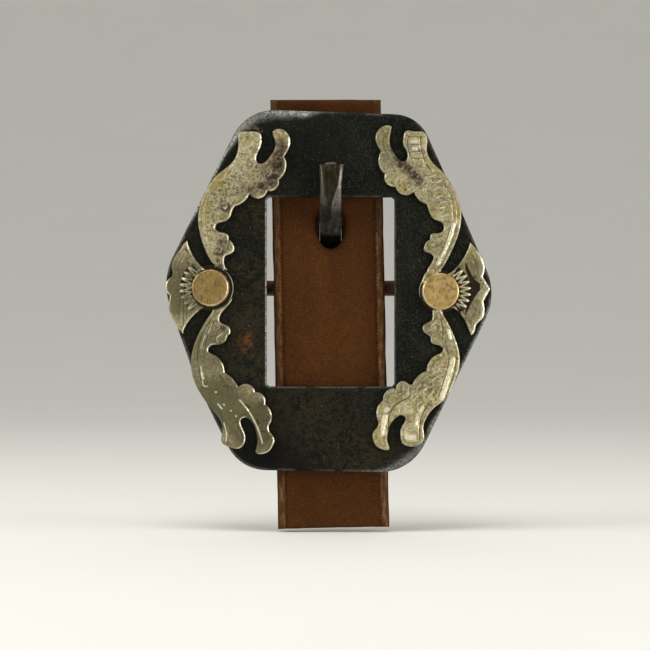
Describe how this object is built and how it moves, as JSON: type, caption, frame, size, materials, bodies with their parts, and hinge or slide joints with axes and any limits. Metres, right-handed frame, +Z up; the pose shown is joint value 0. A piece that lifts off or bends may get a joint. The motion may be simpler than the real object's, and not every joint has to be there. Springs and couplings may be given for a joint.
{
  "type": "belt buckle",
  "caption": "Angular metal belt buckle with a rectangular window, scroll ornaments riveted at the sides, a rear bar with a hinged tongue, and a leather strap held through it.",
  "frame": {"origin": "middle of the rear bar, which is the tongue's hinge line", "axes": "+Z up along the strap, the ornamented front faces -Y, +X to the right as seen from the front"},
  "size_m": [0.0565, 0.0138, 0.0751],
  "materials": {
    "blackened_steel": "blackened and speckled, worn to grey metal on the edges",
    "nickel_silver": "hand polished with yellow and brown tarnish",
    "rivet_brass": "satin",
    "dark_steel": "dull",
    "rusted_steel": "rust brown",
    "forged_steel": "forged, dark, rubbed bright on the edges",
    "strap_leather": "oiled, lighter burnished edges"
  },
  "bodies": {
    "buckle": {"frame_plate": "blackened_steel", "left_ornament": "nickel_silver", "right_ornament": "nickel_silver", "left_rivet": "rivet_brass", "right_rivet": "rivet_brass", "left_burr": "rivet_brass", "right_burr": "rivet_brass", "left_collar": "dark_steel", "right_collar": "dark_steel", "back_bar": "rusted_steel"},
    "tongue": {"tongue": "forged_steel"},
    "strap": {"strap": "strap_leather"}
  },
  "joints": [
    {"name": "tongue_swing", "type": "hinge", "parent": "buckle", "child": "tongue", "pos_m": [0, 0, 0], "axis": [1, 0, 0], "range_deg": [0, 90]},
    {"name": "strap_draw", "type": "slide", "parent": "buckle", "child": "strap", "axis": [0.0192, 0, -0.9998], "range_m": [0, 0.0107]}
  ],
  "couplings": [
    {"joint": "strap_draw", "follows": "tongue_swing", "m_per_rad": 0.0068}
  ]
}
